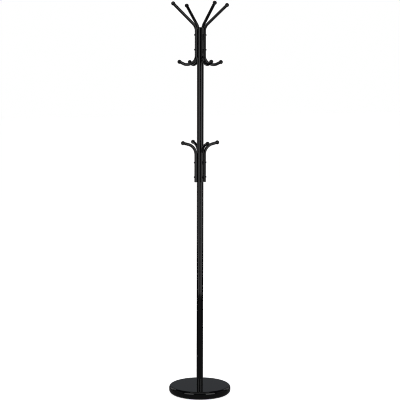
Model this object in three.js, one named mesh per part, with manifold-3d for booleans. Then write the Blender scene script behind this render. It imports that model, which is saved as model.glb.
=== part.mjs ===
// A free-standing coat rack: three steel tubes screwed end to end stand in a round weighted base.
// Four long hooks are screwed to the top of the pole and four short ones to its middle.
// Millimetres, +Z up. The floor is Z = 0 and the pole's axis is the Z axis.

import * as THREE from 'three';
import { mergeVertices } from 'three/addons/utils/BufferGeometryUtils.js';
import Module from 'manifold-3d';

const wasm = await Module();
wasm.setup();

const gap = 0.3; // left between faces that touch

const pole = {
  radius: 14.3,
  wall: 1.2,
  bottom: 14, // the lowest tube stands inside the base, on the raised middle of its plate
  sectionLength: 539,
  sections: ['pole_lower', 'pole_middle', 'pole_upper'],
  sides: 32,
};

const topCap = { rise: 2.4, edgeRadius: 1.2, stemLength: 12, stemRadius: 12.7 };

const insert = { radius: 12.8, socketLength: 24, plugLength: 16, boreRadius: 5.3, sides: 24 };

const stud = { radius: 5, length: 19, tipChamfer: 1 };

const base = {
  topHeight: 37.2,
  shoulderRadius: 12, // between the flat top and the upright wall
  widestRadius: 137.5,
  wallBottom: 16.2, // the wall is upright down to here
  curlRadius: 117.4, // the lower edge curls in towards this radius at the floor
  lipHeight: 2.8, // and is cut off here
  wall: 1.2,
  poleHole: 14.7,
  edgeSteps: 5,
  curlSteps: 3,
  sides: 48,
};

const plate = { radius: 129, bottom: 5, thickness: 1.5, dishRadius: 20, dishSlope: 4, boltHole: 5.4 };

const weight = { radius: 127, poleHole: 14.9, edgeChamfer: 2 };

const bolt = { shankRadius: 4.9, headRadius: 9.8, headHeight: 6.1, length: 24 };

const washer = { radius: 11, hole: 5.4, thickness: 1.5 };

const foot = { radius: 11, height: 4.7, edgeChamfer: 0.8, circleRadius: 104, count: 4, sides: 20 };

const hookTube = { radius: 6, wall: 1, outerSides: 12, innerSides: 8, bendStep: 14 };

const hooksPerSet = 4;

// A hook's outline is a chain of corners in the plane of the hook, each with its bend radius.
// The first number is the distance from the pole's axis and the second is the height.
const hookReach = pole.radius + hookTube.radius + gap;

const upperHook = {
  topBall: [132.3, 1734],
  corners: [[hookReach, 1636], [hookReach, 1495.6], [39.2, 1477.4], [70, 1470]],
  bendRadii: [40.3, 35, 38.5, 41],
  endBall: [102.2, 1483.8],
  screwHeights: [1601, 1537],
  turn: 0,
};

const lowerHook = {
  ball: [82.2, 1129],
  corner: [hookReach, 1113.4],
  bendRadius: 47.2,
  bottom: 955,
  screwHeights: [1042, 977],
  turn: THREE.MathUtils.degToRad(-4.4), // the middle tube stops at a slightly different angle
};

const ball = { radius: 8.5, stemRadius: 4.5, stemLength: 12, sides: 12, steps: 6 };

const endPlug = { thickness: 2, edgeRadius: 0.8, stemRadius: 4.5, stemLength: 10, sides: 12 };

const screw = {
  headRadius: 4.2,
  headRise: 2.4,
  shankRadius: 2.2,
  holeRadius: 2.6,
  reachInside: 4, // beyond the pole's inner wall
  sides: 8,
};

const lacqueredSteel = { color: 0x101113, roughness: 0.16, metalness: 0.0 };
const ballPlastic = { color: 0x0d0d0e, roughness: 0.22, metalness: 0.0 };
const blackScrewSteel = { color: 0x17181a, roughness: 0.35, metalness: 0.4 };
const zincSteel = { color: 0xa9adb0, roughness: 0.38, metalness: 1.0 };
const castConcrete = { color: 0x8b8984, roughness: 0.9, metalness: 0.0 };
const footRubber = { color: 0x1c1c1c, roughness: 0.85, metalness: 0.0 };

const poleLength = pole.sections.length * (pole.sectionLength + gap) - gap;
const poleTop = pole.bottom + poleLength;
const poleInnerRadius = pole.radius - pole.wall;

const rack = new THREE.Group();

function addPiece(parent, name, geometry, finish) {
  const mesh = new THREE.Mesh(geometry, new THREE.MeshStandardMaterial(finish));
  mesh.name = name;
  parent.add(mesh);
  return mesh;
}

// Turns a profile of [radius, height] points, listed anticlockwise, about the Z axis.
function turned(profile, sides) {
  const points = profile.map(([radius, height]) => new THREE.Vector2(radius, height));
  return new THREE.LatheGeometry(points, sides).rotateX(Math.PI / 2);
}

// A closed ring of rectangular section about the Z axis.
function ring(innerRadius, outerRadius, bottom, top, sides) {
  const profile = [
    [innerRadius, bottom],
    [outerRadius, bottom],
    [outerRadius, top],
    [innerRadius, top],
    [innerRadius, bottom],
  ];
  return turned(profile, sides);
}

// Points of an elliptic arc in the [radius, height] plane, from one angle to another in degrees.
function arc(centre, radii, fromAngle, toAngle, steps) {
  const points = [];
  for (let i = 0; i <= steps; i += 1) {
    const angle = THREE.MathUtils.degToRad(fromAngle + ((toAngle - fromAngle) * i) / steps);
    points.push([centre[0] + radii[0] * Math.cos(angle), centre[1] + radii[1] * Math.sin(angle)]);
  }
  return points;
}

function toSolid(geometry) {
  const bare = geometry.clone();
  bare.deleteAttribute('normal');
  bare.deleteAttribute('uv');
  const merged = mergeVertices(bare);
  const mesh = new wasm.Mesh({
    numProp: 3,
    vertProperties: new Float32Array(merged.attributes.position.array),
    triVerts: new Uint32Array(merged.index.array),
  });
  return new wasm.Manifold(mesh);
}

function toGeometry(solid) {
  const mesh = solid.getMesh();
  const geometry = new THREE.BufferGeometry();
  geometry.setAttribute('position', new THREE.BufferAttribute(mesh.vertProperties, 3));
  geometry.setIndex(new THREE.BufferAttribute(mesh.triVerts, 1));
  geometry.computeVertexNormals();
  return geometry;
}

// A round cutter lying along X, from one X to another, at a height, turned about Z by an angle.
function screwCutter(fromX, toX, height, angle) {
  const cutter = new THREE.CylinderGeometry(screw.holeRadius, screw.holeRadius, toX - fromX, screw.sides);
  cutter.rotateZ(Math.PI / 2).translate((fromX + toX) / 2, 0, height).rotateZ(angle);
  return toSolid(cutter);
}

function cut(geometry, cutters) {
  let solid = toSolid(geometry);
  for (const cutter of cutters) solid = solid.subtract(cutter);
  return toGeometry(solid);
}

// A path of straight lines joined by round bends. It has a ring at each end of every line and at
// equal steps round every bend, so that a tube along it spends its faces where it curves.
class BentPath extends THREE.Curve {
  constructor(corners, bendRadii) {
    super();
    const points = corners.map(([x, z]) => new THREE.Vector3(x, 0, z));
    const headings = points.slice(1).map((point, i) => point.clone().sub(points[i]).normalize());
    this.rings = [{ point: points[0], tangent: headings[0] }];
    bendRadii.forEach((radius, i) => this.addBend(points[i + 1], headings[i], headings[i + 1], radius));
    this.rings.push({ point: points[points.length - 1], tangent: headings[headings.length - 1] });
  }

  addBend(corner, before, after, radius) {
    const turn = before.angleTo(after);
    const axis = before.clone().cross(after).normalize();
    const start = corner.clone().addScaledVector(before, -radius * Math.tan(turn / 2));
    const inwards = axis.clone().cross(before);
    const centre = start.clone().addScaledVector(inwards, radius);
    const steps = Math.ceil(THREE.MathUtils.radToDeg(turn) / hookTube.bendStep);
    for (let i = 0; i <= steps; i += 1) {
      const angle = (turn * i) / steps;
      const point = start.clone().sub(centre).applyAxisAngle(axis, angle).add(centre);
      this.rings.push({ point, tangent: before.clone().applyAxisAngle(axis, angle) });
    }
  }

  ringAt(share) {
    return this.rings[Math.round(share * (this.rings.length - 1))];
  }

  getPointAt(share, target = new THREE.Vector3()) {
    return target.copy(this.ringAt(share).point);
  }

  getTangentAt(share, target = new THREE.Vector3()) {
    return target.copy(this.ringAt(share).tangent);
  }
}

// A regular polygon with flats, not corners, in the plane of the hook.
function polygonPoints(radius, sides) {
  const points = [];
  for (let i = 0; i < sides; i += 1) {
    const angle = ((i + 0.5) * 2 * Math.PI) / sides;
    points.push(new THREE.Vector2(radius * Math.cos(angle), radius * Math.sin(angle)));
  }
  return points;
}

function hollowTube(path) {
  const section = new THREE.Shape(polygonPoints(hookTube.radius, hookTube.outerSides));
  section.holes.push(new THREE.Path(polygonPoints(hookTube.radius - hookTube.wall, hookTube.innerSides)));
  return new THREE.ExtrudeGeometry(section, {
    steps: path.rings.length - 1,
    extrudePath: path,
    bevelEnabled: false,
  });
}

// Where a tube that runs from one point towards a ball's centre has to stop, clear of the ball.
function stopBefore(from, centre) {
  const start = new THREE.Vector2(...from);
  const end = new THREE.Vector2(...centre);
  const seat = Math.sqrt(ball.radius ** 2 - hookTube.radius ** 2) + gap;
  return end.addScaledVector(start.sub(end).normalize(), seat).toArray();
}

// A moulded ball with a flat seat for the tube's end and a stem that plugs into it.
// The stem points down and the ball's centre is the origin.
function ballGeometry() {
  const seatAngle = THREE.MathUtils.radToDeg(-Math.acos(hookTube.radius / ball.radius));
  const seat = -Math.sqrt(ball.radius ** 2 - hookTube.radius ** 2);
  const stemEnd = seat - ball.stemLength;
  const profile = [
    [0, stemEnd],
    [ball.stemRadius, stemEnd],
    [ball.stemRadius, seat],
    ...arc([0, 0], [ball.radius, ball.radius], seatAngle, 90, ball.steps),
  ];
  profile[profile.length - 1][0] = 0;
  return turned(profile, ball.sides);
}

// Adds a ball at the end of a tube that arrives from the given point.
function addBall(parent, name, centre, from) {
  const mesh = addPiece(parent, name, ballGeometry(), ballPlastic);
  const outwards = new THREE.Vector3(centre[0] - from[0], 0, centre[1] - from[1]).normalize();
  mesh.position.set(centre[0], 0, centre[1]);
  mesh.quaternion.setFromUnitVectors(new THREE.Vector3(0, 0, 1), outwards);
}

// A round-headed screw whose head's underside is at Z = 0 and whose shank points down.
function screwGeometry() {
  const headSeat = hookReach + hookTube.radius + gap;
  const shankLength = headSeat - (poleInnerRadius - screw.reachInside);
  const profile = [
    [0, -shankLength],
    [screw.shankRadius, -shankLength],
    [screw.shankRadius, 0],
    ...arc([0, 0], [screw.headRadius, screw.headRise], 0, 90, 4),
  ];
  profile[profile.length - 1][0] = 0;
  return turned(profile, screw.sides);
}

function addScrew(parent, name, height) {
  const mesh = addPiece(parent, name, screwGeometry(), blackScrewSteel);
  mesh.position.set(hookReach + hookTube.radius + gap, 0, height);
  mesh.rotation.y = Math.PI / 2;
}

function screwHolesInHook(heights) {
  const halfReach = hookTube.radius + 1;
  return heights.map((height) => screwCutter(hookReach - halfReach, hookReach + halfReach, height, 0));
}

// A group turned so that its own +X is the direction in which one hook points.
function hookDirection(index, turn) {
  const direction = new THREE.Group();
  direction.rotation.z = (index * 2 * Math.PI) / hooksPerSet + turn;
  rack.add(direction);
  return direction;
}

function addUpperHook(index) {
  const { topBall, endBall, corners, bendRadii, screwHeights, turn } = upperHook;
  const direction = hookDirection(index, turn);
  const name = `upper_hook_${index + 1}`;
  const lastCorner = corners[corners.length - 1];
  const path = new BentPath(
    [stopBefore(corners[0], topBall), ...corners, stopBefore(lastCorner, endBall)],
    bendRadii,
  );
  addPiece(direction, name, cut(hollowTube(path), screwHolesInHook(screwHeights)), lacqueredSteel);
  addBall(direction, `${name}_top_ball`, topBall, corners[0]);
  addBall(direction, `${name}_end_ball`, endBall, lastCorner);
  screwHeights.forEach((height, i) => addScrew(direction, `${name}_screw_${i + 1}`, height));
}

// A flanged plug with a stem that goes up into the tube. Its lower face is at Z = 0.
function endPlugGeometry() {
  const { thickness, edgeRadius, stemRadius, stemLength, sides } = endPlug;
  const edgeCentre = [hookTube.radius - edgeRadius, edgeRadius];
  const profile = [
    [0, 0],
    ...arc(edgeCentre, [edgeRadius, edgeRadius], -90, 0, 2),
    [hookTube.radius, thickness],
    [stemRadius, thickness],
    [stemRadius, thickness + stemLength],
    [0, thickness + stemLength],
  ];
  return turned(profile, sides);
}

function addLowerHook(index) {
  const { ball: ballCentre, corner, bendRadius, bottom, screwHeights, turn } = lowerHook;
  const direction = hookDirection(index, turn);
  const name = `lower_hook_${index + 1}`;
  const tubeEnd = [hookReach, bottom + endPlug.thickness + gap];
  const path = new BentPath([stopBefore(corner, ballCentre), corner, tubeEnd], [bendRadius]);
  addPiece(direction, name, cut(hollowTube(path), screwHolesInHook(screwHeights)), lacqueredSteel);
  addBall(direction, `${name}_ball`, ballCentre, corner);
  addPiece(direction, `${name}_plug`, endPlugGeometry(), ballPlastic).position.set(hookReach, 0, bottom);
  screwHeights.forEach((height, i) => addScrew(direction, `${name}_screw_${i + 1}`, height));
}

// The screw holes that one set of hooks needs in the pole's wall.
function screwHolesInPole({ screwHeights, turn }) {
  const cutters = [];
  for (let i = 0; i < hooksPerSet; i += 1) {
    const angle = (i * 2 * Math.PI) / hooksPerSet + turn;
    for (const height of screwHeights) {
      cutters.push(screwCutter(poleInnerRadius - 1, pole.radius + 1, height, angle));
    }
  }
  return cutters;
}

function sectionBottom(index) {
  return pole.bottom + index * (pole.sectionLength + gap);
}

function addPoleSections() {
  const holes = [[], screwHolesInPole(lowerHook), screwHolesInPole(upperHook)];
  pole.sections.forEach((name, i) => {
    const bottom = sectionBottom(i);
    const tube = ring(poleInnerRadius, pole.radius, bottom, bottom + pole.sectionLength, pole.sides);
    addPiece(rack, name, holes[i].length ? cut(tube, holes[i]) : tube, lacqueredSteel);
  });
}

// A threaded bush pressed into the upper end of a tube, flush with it.
function addSocket(name, tubeTop) {
  const bush = ring(insert.boreRadius, insert.radius, tubeTop - insert.socketLength, tubeTop, insert.sides);
  addPiece(rack, name, bush, zincSteel);
}

// A plug pressed into the lower end of a tube, with a stud that screws into the bush below.
function addStudPlug(name, tubeBottom) {
  const tip = tubeBottom - stud.length;
  const profile = [
    [0, tip],
    [stud.radius - stud.tipChamfer, tip],
    [stud.radius, tip + stud.tipChamfer],
    [stud.radius, tubeBottom],
    [insert.radius, tubeBottom],
    [insert.radius, tubeBottom + insert.plugLength],
    [0, tubeBottom + insert.plugLength],
  ];
  addPiece(rack, name, turned(profile, insert.sides), zincSteel);
}

function addPoleJoints() {
  for (let i = 1; i < pole.sections.length; i += 1) {
    addSocket(`joint_${i}_socket`, sectionBottom(i) - gap);
    addStudPlug(`joint_${i}_stud`, sectionBottom(i));
  }
  addSocket('base_insert', pole.bottom + insert.socketLength);
}

function addTopCap() {
  const { rise, edgeRadius, stemLength, stemRadius } = topCap;
  const flange = poleTop + gap;
  const edgeCentre = [pole.radius - edgeRadius, flange + rise - edgeRadius];
  const profile = [
    [0, flange - stemLength],
    [stemRadius, flange - stemLength],
    [stemRadius, flange],
    [pole.radius, flange],
    ...arc(edgeCentre, [edgeRadius, edgeRadius], 0, 90, 3),
    [0, flange + rise],
  ];
  addPiece(rack, 'pole_top_cap', turned(profile, insert.sides), ballPlastic);
}

// The cover's section on its outer side, shrunk inwards by an offset for its inner side.
function coverOutline(offset) {
  const { topHeight, shoulderRadius, widestRadius, wallBottom, curlRadius, lipHeight } = base;
  const shoulderCentre = [widestRadius - shoulderRadius, topHeight - shoulderRadius];
  const shoulderRadii = [shoulderRadius - offset, shoulderRadius - offset];
  const curlRadii = [widestRadius - curlRadius - offset, wallBottom - offset];
  const lipAngle = THREE.MathUtils.radToDeg(Math.asin((wallBottom - lipHeight) / curlRadii[1]));
  return [
    ...arc([curlRadius, wallBottom], curlRadii, -lipAngle, 0, base.curlSteps),
    ...arc(shoulderCentre, shoulderRadii, 0, 90, base.edgeSteps),
    [base.poleHole, topHeight - offset],
  ];
}

// A shell spun from sheet steel: flat on top, rounded at the edge and curled in underneath.
function addBaseCover() {
  const outer = coverOutline(0);
  const inner = coverOutline(base.wall).reverse();
  addPiece(rack, 'base_cover', turned([...outer, ...inner, outer[0]], base.sides), lacqueredSteel);
}

// The heights of the base plate's raised middle, which hides the bolt's head.
const dishTop = pole.bottom - gap;
const dishBottom = dishTop - plate.thickness;

function addBasePlate() {
  const { radius, bottom, thickness, dishRadius, dishSlope, boltHole } = plate;
  const profile = [
    [boltHole, dishBottom],
    [dishRadius, dishBottom],
    [dishRadius + dishSlope, bottom],
    [radius, bottom],
    [radius, bottom + thickness],
    [dishRadius + dishSlope + thickness, bottom + thickness],
    [dishRadius + thickness, dishTop],
    [boltHole, dishTop],
    [boltHole, dishBottom],
  ];
  addPiece(rack, 'base_plate', turned(profile, base.sides), zincSteel);
}

// A cast disc that fills the cover, with a recess for the plate's raised middle.
function addBaseWeight() {
  const bottom = plate.bottom + plate.thickness + gap;
  const top = base.topHeight - base.wall - gap;
  const recessRadius = plate.dishRadius + plate.dishSlope + plate.thickness + gap;
  const recessTop = dishTop + gap;
  const profile = [
    [recessRadius, bottom],
    [weight.radius, bottom],
    [weight.radius, top - weight.edgeChamfer],
    [weight.radius - weight.edgeChamfer, top],
    [weight.poleHole, top],
    [weight.poleHole, recessTop],
    [recessRadius, recessTop],
    [recessRadius, bottom],
  ];
  addPiece(rack, 'base_weight', turned(profile, base.sides), castConcrete);
}

function addBaseBolt() {
  const washerTop = dishBottom - gap;
  const washerBottom = washerTop - washer.thickness;
  const washerRing = ring(washer.hole, washer.radius, washerBottom, washerTop, insert.sides);
  addPiece(rack, 'base_washer', washerRing, zincSteel);

  const headTop = washerBottom - gap;
  const head = new THREE.CylinderGeometry(bolt.headRadius, bolt.headRadius, bolt.headHeight, 6);
  head.rotateX(Math.PI / 2).translate(0, 0, headTop - bolt.headHeight / 2);
  const shankBottom = headTop - bolt.headHeight / 2;
  const shankTop = headTop + bolt.length;
  const shank = new THREE.CylinderGeometry(bolt.shankRadius, bolt.shankRadius, shankTop - shankBottom, 16);
  shank.rotateX(Math.PI / 2).translate(0, 0, (shankTop + shankBottom) / 2);
  addPiece(rack, 'base_bolt', toGeometry(toSolid(head).add(toSolid(shank))), zincSteel);
}

function addFeet() {
  const { radius, height, edgeChamfer, circleRadius, count, sides } = foot;
  const profile = [
    [0, 0],
    [radius - edgeChamfer, 0],
    [radius, edgeChamfer],
    [radius, height],
    [0, height],
  ];
  for (let i = 0; i < count; i += 1) {
    const angle = ((i + 0.5) * 2 * Math.PI) / count;
    const pad = addPiece(rack, `foot_${i + 1}`, turned(profile, sides), footRubber);
    pad.position.set(circleRadius * Math.cos(angle), circleRadius * Math.sin(angle), 0);
  }
}

addBaseCover();
addBaseWeight();
addBasePlate();
addBaseBolt();
addFeet();
addPoleSections();
addPoleJoints();
addTopCap();
for (let i = 0; i < hooksPerSet; i += 1) {
  addUpperHook(i);
  addLowerHook(i);
}

export default rack;
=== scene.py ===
import math

import bmesh
import bpy
from mathutils import Euler, Matrix, Vector


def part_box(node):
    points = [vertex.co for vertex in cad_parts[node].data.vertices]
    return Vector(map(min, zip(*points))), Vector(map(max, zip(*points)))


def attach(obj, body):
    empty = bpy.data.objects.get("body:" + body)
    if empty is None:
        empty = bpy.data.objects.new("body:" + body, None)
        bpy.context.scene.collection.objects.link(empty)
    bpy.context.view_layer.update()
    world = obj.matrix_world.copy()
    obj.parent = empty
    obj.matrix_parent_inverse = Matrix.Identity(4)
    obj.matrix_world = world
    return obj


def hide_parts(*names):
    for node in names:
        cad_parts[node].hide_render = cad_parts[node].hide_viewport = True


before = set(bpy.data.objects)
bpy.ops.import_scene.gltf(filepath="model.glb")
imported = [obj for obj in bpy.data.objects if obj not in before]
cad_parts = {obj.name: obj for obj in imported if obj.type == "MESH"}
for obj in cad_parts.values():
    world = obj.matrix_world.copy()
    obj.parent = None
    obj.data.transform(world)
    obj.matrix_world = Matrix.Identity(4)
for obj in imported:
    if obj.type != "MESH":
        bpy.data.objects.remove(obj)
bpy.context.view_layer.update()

scene = bpy.context.scene
mm = 0.001

print("frame loaded:", len(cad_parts), "nodes")


# camera: a long lens, well back, just below the upper hooks and looking slightly down

cameraSettings = {
    "azimuth": -27.45,  # degrees round the pole from the -Y side
    "distance": 5.335,  # metres, as are the height and how far it sees
    "height": 1.4448,
    "tiltDown": 6.1,
    "roll": -0.1,
    "lens": 108.76,
    "sensor": 36.0,
    "shiftRight": 0.0008,  # of the frame's width
    "seesTo": 100,
}


def standAt(azimuth, distance, height):
    # a point round the pole; azimuth 0 is on the -Y side and 90 on the +X side
    angle = math.radians(azimuth)
    return Vector((math.sin(angle) * distance, -math.cos(angle) * distance, height))


def makeCamera():
    settings = cameraSettings
    data = bpy.data.cameras.new("camera")
    data.lens = settings["lens"]
    data.sensor_width = settings["sensor"]
    data.shift_x = -settings["shiftRight"]
    data.clip_end = settings["seesTo"]
    camera = bpy.data.objects.new("camera", data)
    camera.location = standAt(settings["azimuth"], settings["distance"], settings["height"])
    turns = (90 - settings["tiltDown"], settings["roll"], settings["azimuth"])
    camera.rotation_euler = Euler([math.radians(turn) for turn in turns])
    scene.collection.objects.link(camera)
    scene.camera = camera


makeCamera()


# studio: soft boxes round the rack, on a white sweep that its glossy black doesn't mirror

studioSettings = {
    "sweepSize": 60.0,
    "sweepColour": "#f4f4f4",
    "sweepRoughness": 0.9,
    "sweepGlow": (0.9, 1.0),  # lit by itself, a little less round the base, where its shadow shows
    "sweepFade": (0.4, 1.6),  # metres from the pole
    "skyGlow": 1.0,
    "roomGlow": 0.004,
    "aimHeight": 1.2,  # a box that hangs above this height is tilted down to it
    "filterWidth": 1.0,  # narrower than usual, for crisp edges
    # the tone curve: black stays as it is and the greys between it and white are darker
    "tones": [(0.045, 0.045), (0.14, 0.079), (0.28, 0.15), (0.52, 0.338), (0.76, 0.614)],
}

# each box: degrees to the right of the camera, distance, height of its middle, width and height,
# radiance, and its colour where it is not white
softBoxes = {
    "keyBox": {"turn": 40, "distance": 2.4, "height": 0.9, "size": (1.5, 1.8), "glow": 1.5},
    "fillBox": {"turn": -40, "distance": 2.4, "height": 0.9, "size": (1.5, 1.8), "glow": 1.2},
    "rimRightBox": {"turn": 134, "distance": 2.6, "height": 1.15, "size": (0.9, 1.8), "glow": 0.5},
    "rimLeftBox": {"turn": -134, "distance": 2.6, "height": 1.15, "size": (0.9, 1.8), "glow": 0.6},
    "backPanel": {
        "turn": 180,
        "distance": 3.4,
        "height": 1.6,
        "size": (3.4, 2.8),
        "glow": 0.135,
        "colour": "#eaf3ff",
    },
    "rightPanel": {"turn": 90, "distance": 3.4, "height": 1.15, "size": (2.6, 1.9), "glow": 0.08},
    "leftPanel": {"turn": -90, "distance": 3.4, "height": 1.15, "size": (2.6, 1.9), "glow": 0.08},
    "floorCard": {
        "turn": 0,
        "distance": 1.3,
        "height": 0.001,
        "size": (3.0, 3.0),
        "glow": 0.06,
        "lies": True,  # face up
    },
    "topBox": {"turn": 0, "distance": 0.8, "height": 2.9, "size": (2.4, 1.6), "glow": 0.55},
}


def linearColour(hexCode):
    # sRGB hex to linear red, green, blue and alpha
    channels = [int(hexCode[i : i + 2], 16) / 255 for i in (1, 3, 5)]
    linear = [c / 12.92 if c <= 0.04045 else ((c + 0.055) / 1.055) ** 2.4 for c in channels]
    return (*linear, 1.0)


white = linearColour("#ffffff")


def makeSoftBox(name, settings):
    data = bpy.data.lights.new(name, "AREA")
    data.shape = "RECTANGLE"
    data.size, data.size_y = settings["size"]
    data.energy = settings["glow"] * math.pi * data.size * data.size_y
    data.color = linearColour(settings.get("colour", "#ffffff"))[:3]
    box = bpy.data.objects.new(name, data)
    turned = cameraSettings["azimuth"] + settings["turn"]
    box.location = standAt(turned, settings["distance"], settings["height"])
    if settings.get("lies"):
        aim = Vector((0, 0, 1))
    else:
        aim = Vector((0, 0, min(settings["height"], studioSettings["aimHeight"]))) - box.location
    box.rotation_euler = aim.to_track_quat("-Z", "Y").to_euler()
    box.visible_camera = False
    scene.collection.objects.link(box)


def addNode(tree, kind, settings=None, links=None):
    # settings go to the input socket of that name or number, or else to the node's own property
    node = tree.nodes.new("ShaderNode" + kind)
    for name, value in (settings or {}).items():
        if isinstance(name, int) or name in node.inputs:
            node.inputs[name].default_value = value
        else:
            setattr(node, name, value)
    for name, source in (links or {}).items():
        tree.links.new(source, node.inputs[name])
    return node


def newMaterial(name):
    material = bpy.data.materials.new(name)
    material.use_nodes = True
    tree = material.node_tree
    tree.nodes.clear()
    place = addNode(tree, "TexCoord").outputs["Object"]
    return material, tree, place


def finishMaterial(tree, settings, links):
    shader = addNode(tree, "BsdfPrincipled", settings, links)
    addNode(tree, "OutputMaterial", links={"Surface": shader.outputs["BSDF"]})


def makeWorld():
    # the camera sees a white sky, and everything else a nearly dark room
    world = bpy.data.worlds.new("studio")
    world.use_nodes = True
    tree = world.node_tree
    tree.nodes.clear()
    path = addNode(tree, "LightPath")
    room = addNode(tree, "Background", {"Color": white, "Strength": studioSettings["roomGlow"]})
    sky = addNode(tree, "Background", {"Color": white, "Strength": studioSettings["skyGlow"]})
    choice = {0: path.outputs["Is Camera Ray"], 1: room.outputs[0], 2: sky.outputs[0]}
    both = addNode(tree, "MixShader", links=choice)
    addNode(tree, "OutputWorld", links={"Surface": both.outputs[0]})
    scene.world = world


def setTones():
    view = scene.view_settings
    view.view_transform = "Standard"
    view.use_curve_mapping = True
    allChannels = view.curve_mapping.curves[3]
    for light, shown in studioSettings["tones"]:
        allChannels.points.new(light, shown)
    view.curve_mapping.update()
    scene.cycles.filter_width = studioSettings["filterWidth"]


def makeSweepPaper():
    settings = studioSettings
    material, tree, place = newMaterial("paperSweep")
    away = addNode(tree, "VectorMath", {"operation": "LENGTH"}, {0: place})
    near, far = settings["sweepFade"]
    low, high = settings["sweepGlow"]
    glow = addNode(
        tree,
        "MapRange",
        {
            "interpolation_type": "SMOOTHSTEP",
            "From Min": near,
            "From Max": far,
            "To Min": low,
            "To Max": high,
        },
        {"Value": away.outputs["Value"]},
    )
    finishMaterial(
        tree,
        {
            "Base Color": linearColour(settings["sweepColour"]),
            "Roughness": settings["sweepRoughness"],
            "Emission Color": white,
        },
        {"Emission Strength": glow.outputs["Result"]},
    )
    return material


def makeSweep():
    mesh = bmesh.new()
    bmesh.ops.create_grid(mesh, x_segments=1, y_segments=1, size=studioSettings["sweepSize"] / 2)
    data = bpy.data.meshes.new("sweep")
    mesh.to_mesh(data)
    mesh.free()
    sweep = bpy.data.objects.new("sweep", data)
    scene.collection.objects.link(sweep)
    data.materials.append(makeSweepPaper())
    sweep.visible_glossy = False
    sweep.visible_diffuse = False


for boxName, boxSettings in softBoxes.items():
    makeSoftBox(boxName, boxSettings)
makeWorld()
setTones()
makeSweep()
print("camera and studio ready")


# materials. Sizes of patterns and depths of relief are in mm. With its pattern the roughness goes from
# its first value to its second, and a range is the part of the pattern over which a change runs

# stove-enamelled steel tube and sheet, sprayed black and baked: a wet-looking gloss over the blackest
# body, with a faint orange peel and a few wipe marks that only break up the highlights
enamelSettings = {
    "body": "#0e0e10",
    "thin": "#161618",  # where the coat is thinner it lets a little more light back
    "cloudSize": 45,
    "cloudDetail": 3.0,
    "roughness": (0.03, 0.07),
    "wipeSize": 18,
    "wipeDetail": 5.0,
    "wipeRange": (0.35, 0.75),
    "peelSize": 4.0,  # the real peel is about 1.5 mm, too fine to show, so it is drawn coarser
    "peelDetail": 1.0,
    "peelDepth": 0.004,
    "ior": 1.52,
}


def makeEnamel():
    settings = enamelSettings
    material, tree, place = newMaterial("stoveEnamel")

    clouds = {"Scale": 1000 / settings["cloudSize"], "Detail": settings["cloudDetail"]}
    cloud = addNode(tree, "TexNoise", clouds, {"Vector": place})
    colours = {"data_type": "RGBA", 6: linearColour(settings["body"]), 7: linearColour(settings["thin"])}
    body = addNode(tree, "Mix", colours, {0: cloud.outputs["Fac"]})

    wipes = {"Scale": 1000 / settings["wipeSize"], "Detail": settings["wipeDetail"]}
    wipe = addNode(tree, "TexNoise", wipes, {"Vector": place})
    fromShare, toShare = settings["wipeRange"]
    low, high = settings["roughness"]
    spread = {"From Min": fromShare, "From Max": toShare, "To Min": low, "To Max": high}
    rough = addNode(tree, "MapRange", spread, {"Value": wipe.outputs["Fac"]})

    peels = {"Scale": 1000 / settings["peelSize"], "Detail": settings["peelDetail"]}
    peel = addNode(tree, "TexNoise", peels, {"Vector": place})
    relief = {"Strength": 1.0, "Distance": settings["peelDepth"] * mm}
    bump = addNode(tree, "Bump", relief, {"Height": peel.outputs["Fac"]})

    finishMaterial(
        tree,
        {"IOR": settings["ior"], "Metallic": 0.0},
        {
            "Base Color": body.outputs[2],
            "Roughness": rough.outputs["Result"],
            "Normal": bump.outputs["Normal"],
        },
    )
    return material


# moulded ABS, black all through: a softer gloss than the enamel, with the fine bloom of the tool
plasticSettings = {
    "body": "#09090a",
    "bloom": "#131314",
    "bloomSize": 9,
    "bloomDetail": 4.0,
    "bloomRange": (0.3, 0.7),
    "roughness": (0.16, 0.28),
    "grainSize": 1.2,
    "grainDetail": 2.0,
    "grainDepth": 0.0015,
    "ior": 1.53,
}


def makePlastic():
    settings = plasticSettings
    material, tree, place = newMaterial("mouldedAbs")

    blooms = {"Scale": 1000 / settings["bloomSize"], "Detail": settings["bloomDetail"]}
    bloom = addNode(tree, "TexNoise", blooms, {"Vector": place})
    colours = {"data_type": "RGBA", 6: linearColour(settings["body"]), 7: linearColour(settings["bloom"])}
    body = addNode(tree, "Mix", colours, {0: bloom.outputs["Fac"]})
    fromShare, toShare = settings["bloomRange"]
    low, high = settings["roughness"]
    spread = {"From Min": fromShare, "From Max": toShare, "To Min": low, "To Max": high}
    rough = addNode(tree, "MapRange", spread, {"Value": bloom.outputs["Fac"]})

    grains = {"Scale": 1000 / settings["grainSize"], "Detail": settings["grainDetail"]}
    grain = addNode(tree, "TexNoise", grains, {"Vector": place})
    relief = {"Strength": 1.0, "Distance": settings["grainDepth"] * mm}
    bump = addNode(tree, "Bump", relief, {"Height": grain.outputs["Fac"]})

    finishMaterial(
        tree,
        {"IOR": settings["ior"], "Metallic": 0.0},
        {
            "Base Color": body.outputs[2],
            "Roughness": rough.outputs["Result"],
            "Normal": bump.outputs["Normal"],
        },
    )
    return material


# zinc-plated steel, black passivated: screws with a dull metallic sheen, rubbed brighter by the driver
screwSettings = {
    "body": "#1b1b1e",
    "rubbed": "#4a4a4e",
    "rubSize": 2.5,
    "rubDetail": 5.0,
    "rubRange": (0.5, 0.8),  # only the strongest patches are rubbed
    "rubDepth": 0.004,
    "roughness": (0.26, 0.42),
}


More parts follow.
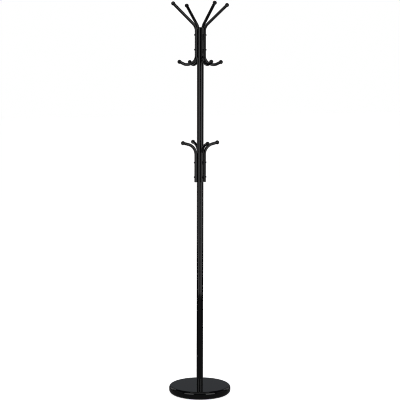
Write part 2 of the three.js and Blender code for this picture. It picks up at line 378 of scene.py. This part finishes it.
def makeScrewBlack():
    settings = screwSettings
    material, tree, place = newMaterial("blackZinc")

    rubs = {"Scale": 1000 / settings["rubSize"], "Detail": settings["rubDetail"]}
    rub = addNode(tree, "TexNoise", rubs, {"Vector": place})
    fromShare, toShare = settings["rubRange"]
    spread = {"From Min": fromShare, "From Max": toShare}
    share = addNode(tree, "MapRange", spread, {"Value": rub.outputs["Fac"]})
    colours = {"data_type": "RGBA", 6: linearColour(settings["body"]), 7: linearColour(settings["rubbed"])}
    body = addNode(tree, "Mix", colours, {0: share.outputs["Result"]})

    low, high = settings["roughness"]
    rough = addNode(tree, "MapRange", {"To Min": low, "To Max": high}, {"Value": rub.outputs["Fac"]})
    relief = {"Strength": 1.0, "Distance": settings["rubDepth"] * mm}
    bump = addNode(tree, "Bump", relief, {"Height": rub.outputs["Fac"]})

    finishMaterial(
        tree,
        {"Metallic": 1.0},
        {
            "Base Color": body.outputs[2],
            "Roughness": rough.outputs["Result"],
            "Normal": bump.outputs["Normal"],
        },
    )
    return material


# clear-passivated zinc plate on pressed and turned steel: pale bluish grey with cloudy spangle
zincSettings = {
    "body": "#a7abae",
    "cloud": "#8b9196",
    "spangleSize": 6,
    "spangleDetail": 6.0,
    "spangleDepth": 0.006,
    "roughness": (0.3, 0.5),
}


def makeZinc():
    settings = zincSettings
    material, tree, place = newMaterial("zincPlatedSteel")

    spangles = {"Scale": 1000 / settings["spangleSize"], "Detail": settings["spangleDetail"]}
    spangle = addNode(tree, "TexNoise", spangles, {"Vector": place})
    colours = {"data_type": "RGBA", 6: linearColour(settings["body"]), 7: linearColour(settings["cloud"])}
    body = addNode(tree, "Mix", colours, {0: spangle.outputs["Fac"]})

    low, high = settings["roughness"]
    rough = addNode(tree, "MapRange", {"To Min": low, "To Max": high}, {"Value": spangle.outputs["Fac"]})
    relief = {"Strength": 1.0, "Distance": settings["spangleDepth"] * mm}
    bump = addNode(tree, "Bump", relief, {"Height": spangle.outputs["Fac"]})

    finishMaterial(
        tree,
        {"Metallic": 1.0},
        {
            "Base Color": body.outputs[2],
            "Roughness": rough.outputs["Result"],
            "Normal": bump.outputs["Normal"],
        },
    )
    return material


# moulded natural rubber: dull black with a dusty bloom and a fine pebble grain
rubberSettings = {
    "body": "#151515",
    "bloom": "#2a2927",
    "bloomsPerMetre": 120.0,
    "bloomDetail": 4.0,
    "roughness": (0.75, 0.95),
    "pebbleSize": 0.9,
    "pebbleDepth": 0.03,
    "ior": 1.52,
}


def makeRubber():
    settings = rubberSettings
    material, tree, place = newMaterial("mouldedRubber")

    blooms = {"Scale": settings["bloomsPerMetre"], "Detail": settings["bloomDetail"]}
    bloom = addNode(tree, "TexNoise", blooms, {"Vector": place})
    colours = {"data_type": "RGBA", 6: linearColour(settings["body"]), 7: linearColour(settings["bloom"])}
    body = addNode(tree, "Mix", colours, {0: bloom.outputs["Fac"]})
    low, high = settings["roughness"]
    rough = addNode(tree, "MapRange", {"To Min": low, "To Max": high}, {"Value": bloom.outputs["Fac"]})

    pebble = addNode(tree, "TexVoronoi", {"Scale": 1000 / settings["pebbleSize"]}, {"Vector": place})
    relief = {"Strength": 1.0, "Distance": settings["pebbleDepth"] * mm}
    bump = addNode(tree, "Bump", relief, {"Height": pebble.outputs["Distance"]})

    finishMaterial(
        tree,
        {"IOR": settings["ior"], "Metallic": 0.0},
        {
            "Base Color": body.outputs[2],
            "Roughness": rough.outputs["Result"],
            "Normal": bump.outputs["Normal"],
        },
    )
    return material


# cast concrete: grey cement with darker sand, open pores and no shine at all
concreteSettings = {
    "cement": "#96928a",
    "sand": "#6d6a63",
    "sandSize": 2.5,
    "sandDetail": 8.0,
    "poreSize": 5,
    "poreDepth": 0.5,
    "roughness": (0.8, 1.0),
    "ior": 1.5,
}


def makeConcrete():
    settings = concreteSettings
    material, tree, place = newMaterial("castConcrete")

    sands = {"Scale": 1000 / settings["sandSize"], "Detail": settings["sandDetail"]}
    sand = addNode(tree, "TexNoise", sands, {"Vector": place})
    colours = {"data_type": "RGBA", 6: linearColour(settings["cement"]), 7: linearColour(settings["sand"])}
    body = addNode(tree, "Mix", colours, {0: sand.outputs["Fac"]})
    low, high = settings["roughness"]
    rough = addNode(tree, "MapRange", {"To Min": low, "To Max": high}, {"Value": sand.outputs["Fac"]})

    pores = addNode(tree, "TexVoronoi", {"Scale": 1000 / settings["poreSize"]}, {"Vector": place})
    relief = {"Strength": 1.0, "Distance": settings["poreDepth"] * mm}
    bump = addNode(tree, "Bump", relief, {"Height": pores.outputs["Distance"]})

    finishMaterial(
        tree,
        {"IOR": settings["ior"], "Metallic": 0.0},
        {
            "Base Color": body.outputs[2],
            "Roughness": rough.outputs["Result"],
            "Normal": bump.outputs["Normal"],
        },
    )
    return material


enamel = makeEnamel()
plastic = makePlastic()
screwBlack = makeScrewBlack()
zinc = makeZinc()
rubber = makeRubber()
concrete = makeConcrete()
print("materials ready")


# making and placing pieces

meshSettings = {
    "mergeWithin": 0.001,  # mm
    "sharpFrom": 32,  # degrees between faces
    "roundingSteps": 3,
}


def mergePoints(mesh):
    bmesh.ops.remove_doubles(mesh, verts=mesh.verts, dist=meshSettings["mergeWithin"] * mm)
    bmesh.ops.recalc_face_normals(mesh, faces=mesh.faces)


def shadeSmooth(data):
    # smooth, with its real edges sharp
    data.shade_smooth()
    data.set_sharp_from_angle(angle=math.radians(meshSettings["sharpFrom"]))


def toMeshData(mesh, name):
    # ends the bmesh
    mergePoints(mesh)
    data = bpy.data.meshes.new(name)
    mesh.to_mesh(data)
    mesh.free()
    shadeSmooth(data)
    return data


def placePiece(name, data, node, material, matrix=Matrix.Identity(4)):
    # a piece is its own copy of the mesh, moved to its place, standing for one CAD node
    data = data.copy()
    data.name = name
    data.transform(matrix)
    data.materials.clear()
    data.materials.append(material)
    piece = bpy.data.objects.new(name, data)
    scene.collection.objects.link(piece)
    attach(piece, "root")
    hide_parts(node)


def arc(centre, radii, fromAngle, toAngle, steps):
    # points of an elliptic arc in a turned profile, angles in degrees from the radius direction
    angles = [math.radians(fromAngle + (toAngle - fromAngle) * i / steps) for i in range(steps + 1)]
    return [(centre[0] + radii[0] * math.cos(a), centre[1] + radii[1] * math.sin(a)) for a in angles]


def turnedMesh(profile, steps, closed=False):
    # spins a profile of (radius, height) in mm round the Z axis
    mesh = bmesh.new()
    verts = [mesh.verts.new((radius * mm, 0, height * mm)) for radius, height in profile]
    edges = [mesh.edges.new(pair) for pair in zip(verts, verts[1:])]
    if closed:
        edges.append(mesh.edges.new((verts[-1], verts[0])))
    bmesh.ops.spin(
        mesh,
        geom=verts + edges,
        cent=(0, 0, 0),
        axis=(0, 0, 1),
        angle=math.tau,
        steps=steps,
        use_merge=True,
    )
    mergePoints(mesh)
    return mesh


def roundedProfile(corners, roundings):
    # the corners of a closed profile, those with a rounding in mm turned into a short arc
    points = []
    steps = meshSettings["roundingSteps"]
    for i, corner in enumerate(corners):
        radius = roundings.get(i, 0)
        if not radius:
            points.append(corner)
            continue
        here = Vector(corner)
        before = (Vector(corners[i - 1]) - here).normalized()
        after = (Vector(corners[(i + 1) % len(corners)]) - here).normalized()
        half = before.angle(after) / 2
        centre = here + (before + after).normalized() * (radius / math.sin(half))
        start = here + before * (radius / math.tan(half)) - centre
        end = here + after * (radius / math.tan(half)) - centre
        sweep = start.angle_signed(end)
        for step in range(steps + 1):
            turned = start.copy()
            turned.rotate(Matrix.Rotation(-sweep * step / steps, 2))
            points.append(tuple(centre + turned))
    return points


def cutAway(data, cutters):
    # boolean difference of mesh data with each bmesh in the list. The cutters are scratch objects:
    # they cut this one mesh and are gone again
    body = bpy.data.objects.new("cutBody", data)
    scene.collection.objects.link(body)
    tools = []
    for cutter in cutters:
        toolData = bpy.data.meshes.new("cutter")
        cutter.to_mesh(toolData)
        cutter.free()
        tool = bpy.data.objects.new("cutter", toolData)
        scene.collection.objects.link(tool)
        tools.append(tool)
        step = body.modifiers.new("cut", "BOOLEAN")
        step.operation = "DIFFERENCE"
        step.solver = "EXACT"
        step.object = tool
    evaluated = body.evaluated_get(bpy.context.evaluated_depsgraph_get())
    result = bpy.data.meshes.new_from_object(evaluated)
    for scratch in tools + [body]:
        bpy.data.objects.remove(scratch)
    shadeSmooth(result)
    return result


def boxOf(node):
    # lowest and highest corner of a CAD node in mm
    low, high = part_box(node)
    return low / mm, high / mm


def quarterTurn(index, extra=0):
    # four of everything stand round the pole; the extra turn is in degrees
    return Matrix.Rotation(math.radians(90 * index + extra), 4, "Z")


fit = 0.3  # mm between a part and the tube that it sits on


# top cap: a shallow moulded plug

capSettings = {
    "edge": 1.2,
    "stemRadius": 12.7,
    "crown": 0.5,
    "crownSink": 0.3,  # the crown's curve is centred this far under its rim
    "sides": 96,
}


def makeTopCap():
    settings = capSettings
    low, high = boxOf("pole_top_cap")
    seat = boxOf("pole_upper")[1].z + fit
    radius = high.x
    shoulder = high.z - settings["crown"]
    edge = settings["edge"]
    sink = settings["crownSink"]
    profile = [
        (0, low.z),
        (settings["stemRadius"], low.z),
        (settings["stemRadius"], seat),
        (radius, seat),
        *arc((radius - edge, shoulder - edge), (edge, edge), 0, 80, 6),
        *arc((0, shoulder - sink), (radius - edge, settings["crown"] + sink), 75, 90, 4),
    ]
    profile[-1] = (0, high.z)
    cap = toMeshData(turnedMesh(profile, settings["sides"]), "topCap")
    placePiece("topCap", cap, "pole_top_cap", plastic)


makeTopCap()


# hooks: bent from 12 mm tube. A hook is drawn in its own plane, the first number of a point being its
# distance from the pole's axis and the second its height, both in mm

tubeSettings = {
    "radius": 6.0,
    "wall": 1.0,
    "sides": 48,
    "bendStep": 3.0,  # degrees of bend for each ring
    "holdRing": 1.0,  # a ring this far into each straight keeps its shading straight
    "seatDepth": 1.3,  # the tube is pressed flat this deep under each screw head
    "seatRadius": 4.7,
    "seatBlend": 3.0,
    "seatRings": 10,  # above and below the screw
    "holeRadius": 2.6,
    "holeSides": 24,
    "drillReach": 8.0,  # either way from the tube's middle
    "endGap": 0.1,  # a tube ends this far from the ball or plug in it
}

hookReach = boxOf("pole_upper")[1].x + tubeSettings["radius"] + fit

upperHook = {
    "topBall": (132.3, 1734.0),
    "corners": [(hookReach, 1636.0), (hookReach, 1495.6), (39.2, 1477.4), (70.0, 1470.0)],
    "bendRadii": [40.3, 35.0, 38.5, 41.0],
    "endBall": (102.2, 1483.8),
    "screws": [1601.0, 1537.0],
    "turn": 0.0,
}

lowerHook = {
    "ball": (82.2, 1129.0),
    "corners": [(hookReach, 1113.4)],
    "bendRadii": [47.2],
    "bottom": 955.0,
    "screws": [1042.0, 977.0],
    "turn": -4.4,  # screwed together, the pole's sections stop at slightly different angles
}


def pullRim(mesh, rim, move):
    # extrudes an open ring of edges along a straight line and gives the new ring
    made = bmesh.ops.extrude_edge_only(mesh, edges=rim)["geom"]
    verts = [g for g in made if isinstance(g, bmesh.types.BMVert)]
    bmesh.ops.translate(mesh, verts=verts, vec=move)
    return [g for g in made if isinstance(g, bmesh.types.BMEdge) and all(v in verts for v in g.verts)]


def pullStraight(mesh, rim, move):
    # a straight stretch, with a holding ring near each end where there is room for them
    hold = tubeSettings["holdRing"] * mm
    if move.length > hold * 3:
        ends = move.normalized() * hold
        for part in (ends, move - ends * 2):
            rim = pullRim(mesh, rim, part)
        move = ends
    return pullRim(mesh, rim, move)


def bentTube(corners, bendRadii):
    settings = tubeSettings
    points = [Vector((x, 0, z)) * mm for x, z in corners]
    headings = [(b - a).normalized() for a, b in zip(points, points[1:])]
    mesh = bmesh.new()
    start = Matrix.Translation(points[0]) @ headings[0].to_track_quat("Z", "Y").to_matrix().to_4x4()
    bmesh.ops.create_circle(mesh, radius=settings["radius"] * mm, segments=settings["sides"], matrix=start)
    rim = mesh.edges[:]
    here = points[0]
    for corner, radius, before, after in zip(points[1:], bendRadii, headings, headings[1:]):
        turn = before.angle(after)
        axis = before.cross(after).normalized()
        run = radius * mm * math.tan(turn / 2)
        bendStart = corner - before * run
        rim = pullStraight(mesh, rim, bendStart - here)
        centre = bendStart + axis.cross(before) * radius * mm
        steps = math.ceil(math.degrees(turn) / settings["bendStep"])
        spun = bmesh.ops.spin(mesh, geom=rim, cent=centre, axis=axis, angle=turn, steps=steps)
        rim = [g for g in spun["geom_last"] if isinstance(g, bmesh.types.BMEdge)]
        here = corner + after * run
    pullStraight(mesh, rim, points[-1] - here)
    bmesh.ops.recalc_face_normals(mesh, faces=mesh.faces)
    return mesh


def pressSeats(mesh, heights):
    # flattens the outer side of the upright tube under each screw head
    settings = tubeSettings
    reach = settings["seatRadius"] + settings["seatBlend"]
    rings = settings["seatRings"]
    for height in heights:
        for step in range(-rings, rings + 1):
            cut = (height + reach * step / rings) * mm
            geom = mesh.verts[:] + mesh.edges[:] + mesh.faces[:]
            bmesh.ops.bisect_plane(mesh, geom=geom, plane_co=(0, 0, cut), plane_no=(0, 0, 1))
    flat = hookReach + settings["radius"] - settings["seatDepth"]
    for vert in mesh.verts:
        place = vert.co / mm
        if place.x < hookReach:
            continue
        away = min(math.hypot(place.y, place.z - height) for height in heights)
        share = min(1, max(0, (reach - away) / settings["seatBlend"]))
        share = share * share * (3 - 2 * share)
        vert.co.x += (min(place.x, flat) - place.x) * share * mm


def screwHoleCutters(heights, fromX, toX, turns=(Matrix.Identity(4),)):
    # a drill for each height and each turn round the pole
    radius = tubeSettings["holeRadius"] * mm
    lying = Matrix.Rotation(math.pi / 2, 4, "Y")
    cutters = []
    for turn in turns:
        for height in heights:
            middle = Vector(((fromX + toX) / 2, 0, height)) * mm
            cutter = bmesh.new()
            bmesh.ops.create_cone(
                cutter,
                cap_ends=True,
                segments=tubeSettings["holeSides"],
                radius1=radius,
                radius2=radius,
                depth=(toX - fromX) * mm,
                matrix=turn @ Matrix.Translation(middle) @ lying,
            )
            cutters.append(cutter)
    return cutters


def hookData(name, corners, bendRadii, screws):
    mesh = bentTube(corners, bendRadii)
    pressSeats(mesh, screws)
    bmesh.ops.solidify(mesh, geom=mesh.faces[:], thickness=tubeSettings["wall"] * mm)
    data = toMeshData(mesh, name)
    reach = tubeSettings["drillReach"]
    return cutAway(data, screwHoleCutters(screws, hookReach - reach, hookReach + reach))


# ball: pushed into the end of a tube

ballSettings = {
    "radius": 8.47,
    "stemRadius": 4.5,
    "stemLength": 12.0,
    "stemChamfer": 0.6,
    "partingLine": 0.12,
    "partingHalf": 1.2,  # degrees from the line's top to the ball's own curve
    "sides": 64,
}


def ballData():
    # the ball's middle is the origin and its stem points down
    settings = ballSettings
    radius, stem = settings["radius"], settings["stemRadius"]
    seat = -math.sqrt(radius**2 - tubeSettings["radius"] ** 2)
    seatAngle = math.degrees(math.asin(seat / radius))
    stemEnd = seat - settings["stemLength"]
    chamfer = settings["stemChamfer"]
    half = settings["partingHalf"]
    profile = [
        (0, stemEnd),
        (stem - chamfer, stemEnd),
        (stem, stemEnd + chamfer),
        (stem, seat),
        *arc((0, 0), (radius, radius), seatAngle, -half, 12),
        (radius + settings["partingLine"], 0),
        *arc((0, 0), (radius, radius), half, 90, 22),
    ]
    profile[-1] = (0, radius)
    return toMeshData(turnedMesh(profile, settings["sides"]), "ball")


# screw: a low round head with a cross recess, its rim reaching down to the flat on the tube

headSettings = {
    "radius": 4.2,
    "rise": 2.4,
    "skirt": 1.2,
    "rimChamfer": 0.2,
    "shankRadius": 2.2,
    "shankLength": 17.8,
    "tipChamfer": 0.4,
    "slot": (4.6, 0.9, 1.5),  # length, width and depth of each bar of the cross
    "slotFloor": (0.45, 0.8),  # length and width at the cutter's bottom, as shares of those at its top
    "sides": 48,
}


def screwData():
    # the head's rim starts below the origin, its crown is above, and the shank points down
    settings = headSettings
    radius, rise, skirt = settings["radius"], settings["rise"], settings["skirt"]
    shank, tip = settings["shankRadius"], -settings["shankLength"]
    tipChamfer, rimChamfer = settings["tipChamfer"], settings["rimChamfer"]
    profile = [
        (0, tip),
        (shank - tipChamfer, tip),
        (shank, tip + tipChamfer),
        (shank, -skirt),
        (radius - rimChamfer, -skirt),
        (radius, -skirt + rimChamfer),
        *arc((0, 0), (radius, rise), 0, 90, 12),
    ]
    profile[-1] = (0, rise)
    data = toMeshData(turnedMesh(profile, settings["sides"]), "screw")
    length, width, depth = settings["slot"]
    cutters = []
    for turn in (0, math.pi / 2):
        cutter = bmesh.new()
        bmesh.ops.create_cube(cutter, size=mm)
        bmesh.ops.scale(cutter, vec=(length, width, depth * 2), verts=cutter.verts)
        floorVerts = [v for v in cutter.verts if v.co.z < 0]
        bmesh.ops.scale(cutter, vec=(*settings["slotFloor"], 1), verts=floorVerts)
        bmesh.ops.rotate(cutter, cent=(0, 0, 0), matrix=Matrix.Rotation(turn, 3, "Z"), verts=cutter.verts)
        bmesh.ops.translate(cutter, vec=(0, 0, rise * mm), verts=cutter.verts)
        cutters.append(cutter)
    return cutAway(data, cutters)


# plug: closes the lower end of a lower hook, dished underneath

plugSettings = {
    "dishRadius": 2.4,
    "dishRim": 2.9,
    "dishDepth": 0.3,
    "rounding": 0.8,
    "flange": 2.0,
    "stemRadius": 4.5,
    "stemTop": 12.0,
    "stemChamfer": 0.5,
    "sides": 48,
}


def plugData():
    # its lower face is at the origin
    settings = plugSettings
    radius, stem = tubeSettings["radius"], settings["stemRadius"]
    rounding, chamfer = settings["rounding"], settings["stemChamfer"]
    profile = [
        (0, settings["dishDepth"]),
        (settings["dishRadius"], settings["dishDepth"]),
        (settings["dishRim"], 0),
        *arc((radius - rounding, rounding), (rounding, rounding), -90, 0, 6),
        (radius, settings["flange"]),
        (stem, settings["flange"]),
        (stem, settings["stemTop"] - chamfer),
        (stem - chamfer, settings["stemTop"]),
        (0, settings["stemTop"]),
    ]
    return toMeshData(turnedMesh(profile, settings["sides"]), "plug")


def stopBefore(start, centre):
    # where a tube running towards a ball has to end
    ballSeat = math.sqrt(ballSettings["radius"] ** 2 - tubeSettings["radius"] ** 2)
    end = Vector(centre)
    return tuple(end + (Vector(start) - end).normalized() * (ballSeat + tubeSettings["endGap"]))


def ballPlace(centre, start):
    outwards = Vector((centre[0] - start[0], 0, centre[1] - start[1])).normalized()
    place = Matrix.Translation(Vector((centre[0], 0, centre[1])) * mm)
    return place @ outwards.to_track_quat("Z", "Y").to_matrix().to_4x4()


def screwPlace(height):
    seat = hookReach + tubeSettings["radius"] + fit
    return Matrix.Translation(Vector((seat, 0, height)) * mm) @ Matrix.Rotation(math.pi / 2, 4, "Y")


def placePlastic(name, data, node, matrix):
    placePiece(name, data, node, plastic, matrix)


def placeScrews(name, data, node, heights, turn):
    for number, height in enumerate(heights, 1):
        place = turn @ screwPlace(height)
        placePiece(f"{name}Screw{number}", data, f"{node}_screw_{number}", screwBlack, place)


def makeHooks():
    ball = ballData()
    screw = screwData()
    plug = plugData()

    upper = upperHook
    first, last = upper["corners"][0], upper["corners"][-1]
    upperPath = [stopBefore(first, upper["topBall"]), *upper["corners"], stopBefore(last, upper["endBall"])]
    upperData = hookData("upperHook", upperPath, upper["bendRadii"], upper["screws"])

    lower = lowerHook
    corner = lower["corners"][0]
    plugTop = lower["bottom"] + plugSettings["flange"]
    lowerPath = [stopBefore(corner, lower["ball"]), corner, (hookReach, plugTop + tubeSettings["endGap"])]
    lowerData = hookData("lowerHook", lowerPath, lower["bendRadii"], lower["screws"])
    plugPlace = Matrix.Translation(Vector((hookReach, 0, lower["bottom"])) * mm)

    for i in range(4):
        turn = quarterTurn(i, upper["turn"])
        node = f"upper_hook_{i + 1}"
        name = f"upperHook{i + 1}"
        placePiece(name, upperData, node, enamel, turn)
        placePlastic(name + "TopBall", ball, node + "_top_ball", turn @ ballPlace(upper["topBall"], first))
        placePlastic(name + "EndBall", ball, node + "_end_ball", turn @ ballPlace(upper["endBall"], last))
        placeScrews(name, screw, node, upper["screws"], turn)

        turn = quarterTurn(i, lower["turn"])
        node = f"lower_hook_{i + 1}"
        name = f"lowerHook{i + 1}"
        placePiece(name, lowerData, node, enamel, turn)
        placePlastic(name + "Ball", ball, node + "_ball", turn @ ballPlace(lower["ball"], corner))
        placePlastic(name + "Plug", plug, node + "_plug", turn @ plugPlace)
        placeScrews(name, screw, node, lower["screws"], turn)


# pole: three tubes, rounded a little at their ends, so that a fine line shows where they meet, and
# drilled for the screws of the hooks

poleSettings = {
    "nodes": ["pole_lower", "pole_middle", "pole_upper"],
    "hooksOn": {"pole_middle": lowerHook, "pole_upper": upperHook},
    "wall": 1.2,
    "endRounding": 0.5,
    "holdLoop": 1.5,  # a loop near each end keeps the long wall shading straight
    "holeLoop": 4.0,  # and so do loops this far above and below each screw hole
    "drillPast": 1.0,
    "sides": 128,
}


def makePole():
    settings = poleSettings
    for node in settings["nodes"]:
        low, high = boxOf(node)
        outer = high.x
        inner = outer - settings["wall"]
        hook = settings["hooksOn"].get(node)
        screws = hook["screws"] if hook else []
        loops = [low.z + settings["holdLoop"], high.z - settings["holdLoop"]]
        for height in screws:
            loops += [height - settings["holeLoop"], height + settings["holeLoop"]]
        corners = [
            (inner, low.z),
            (outer, low.z),
            *[(outer, height) for height in sorted(loops)],
            (outer, high.z),
            (inner, high.z),
        ]
        ends = {1: settings["endRounding"], len(corners) - 2: settings["endRounding"]}
        profile = roundedProfile(corners, ends)
        tube = toMeshData(turnedMesh(profile, settings["sides"], closed=True), node)
        if hook:
            past = settings["drillPast"]
            turns = [quarterTurn(i, hook["turn"]) for i in range(4)]
            tube = cutAway(tube, screwHoleCutters(screws, inner - past, outer + past, turns))
        placePiece(node.replace("pole_", "poleTube_"), tube, node, enamel)


makeHooks()
makePole()
print("pole, cap, hooks, balls, plugs and screws made")


# base: a spun cover, flat on top and rounded at the edge, that curls in under a pressed plate

coverSettings = {
    "shoulder": 12.0,
    "wallBottom": 16.2,
    "curlRadius": 117.4,
    "wall": 1.2,
    "poleHole": 14.7,
    "holeEdge": [(0, 0.4), (0.15, 0.12), (0.5, 0)],  # its rounding: outwards, and down from the top
    "holdLoop": 1.0,  # a loop near each edge keeps the flat top flat
    "sides": 256,
}


def makeCover():
    settings = coverSettings
    low, high = boxOf("base_cover")
    widest, top, lip = high.x, high.z, low.z
    shoulder = settings["shoulder"]
    middle = settings["wallBottom"]
    curl = settings["curlRadius"]
    hold = settings["holdLoop"]
    hole = settings["poleHole"]
    edge = [(hole + outwards, top - down) for outwards, down in settings["holeEdge"]]
    lipAngle = math.degrees(math.asin((middle - lip) / middle))
    profile = [
        *edge,
        (edge[-1][0] + hold, top),
        (widest - shoulder - hold, top),
        *arc((widest - shoulder, top - shoulder), (shoulder, shoulder), 90, 0, 24),
        *arc((curl, middle), (widest - curl, middle), 0, -lipAngle, 12),
    ]
    mesh = turnedMesh(profile, settings["sides"])
    bmesh.ops.solidify(mesh, geom=mesh.faces[:], thickness=settings["wall"] * mm)
    placePiece("baseCover", toMeshData(mesh, "baseCover"), "base_cover", enamel)


plateSettings = {
    "thickness": 1.5,
    "dishRadius": 20.0,
    "dishSlope": 4.0,
    "bendWidth": 1.0,  # of the bend at the dish's top and at its foot
    "bendDepth": 0.4,
    "boltHole": 5.4,
    "beadRadius": 66.0,
    "beadWidth": 7.0,
    "beadDepth": 1.0,
    "edgeInside": 1.0,  # the sheet ends this far inside the edge of its CAD plate
    "sides": 160,
}


def makePlate():
    settings = plateSettings
    low, high = boxOf("base_plate")
    bottom, thick = low.z, settings["thickness"]
    dishBottom = high.z - thick
    bead, beadWidth = settings["beadRadius"], settings["beadWidth"]
    bendWidth, bendDepth = settings["bendWidth"], settings["bendDepth"]
    dish = settings["dishRadius"]
    slope = dish + settings["dishSlope"]
    sheet = [
        (settings["boltHole"], dishBottom),
        (dish - bendWidth, dishBottom),
        (dish, dishBottom - bendDepth),
        (slope, bottom + bendDepth),
        (slope + bendWidth, bottom),
        (bead - beadWidth, bottom),
        *arc((bead, bottom), (beadWidth, settings["beadDepth"]), -160, -20, 10),
        (bead + beadWidth, bottom),
        (high.x - settings["edgeInside"], bottom),
    ]
    mesh = turnedMesh(sheet, settings["sides"])
    bmesh.ops.solidify(mesh, geom=mesh.faces[:], thickness=-thick * mm)
    placePiece("basePlate", toMeshData(mesh, "basePlate"), "base_plate", zinc)


footSettings = {
    "dimple": (2.5, 3.0),  # radius at its bottom and at its rim
    "dimpleDepth": 0.6,
    "groove": (5.2, 6.8),
    "grooveWall": 0.4,
    "grooveDepth": 0.5,
    "rounding": 1.0,
    "taper": 0.5,
    "sides": 64,
}


def makeFeet():
    settings = footSettings
    dimple, dimpleRim = settings["dimple"]
    dimpleDepth, grooveDepth = settings["dimpleDepth"], settings["grooveDepth"]
    groove, grooveEnd = settings["groove"]
    wall, rounding = settings["grooveWall"], settings["rounding"]
    for i in range(1, 5):
        node = f"foot_{i}"
        low, high = boxOf(node)
        radius, height = (high.x - low.x) / 2, high.z
        profile = [
            (0, dimpleDepth),
            (dimple, dimpleDepth),
            (dimpleRim, 0),
            (groove, 0),
            (groove + wall, grooveDepth),
            (grooveEnd - wall, grooveDepth),
            (grooveEnd, 0),
            *arc((radius - rounding, rounding), (rounding, rounding), -90, 0, 6),
            (radius - settings["taper"], height),
            (0, height),
        ]
        data = toMeshData(turnedMesh(profile, settings["sides"]), node)
        middle = Matrix.Translation(Vector(((low.x + high.x) / 2, (low.y + high.y) / 2, 0)) * mm)
        placePiece(f"rubberFoot{i}", data, node, rubber, middle)


makeCover()
makePlate()
makeFeet()
print("base made")


# what is inside the base and the tubes keeps its CAD shape

innerNodes = {
    "base_weight": concrete,
    "base_bolt": zinc,
    "base_washer": zinc,
    "base_insert": zinc,
    "joint_1_socket": zinc,
    "joint_1_stud": zinc,
    "joint_2_socket": zinc,
    "joint_2_stud": zinc,
}

for innerName, innerMaterial in innerNodes.items():
    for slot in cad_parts[innerName].material_slots:
        slot.material = innerMaterial
print("inner pieces finished")
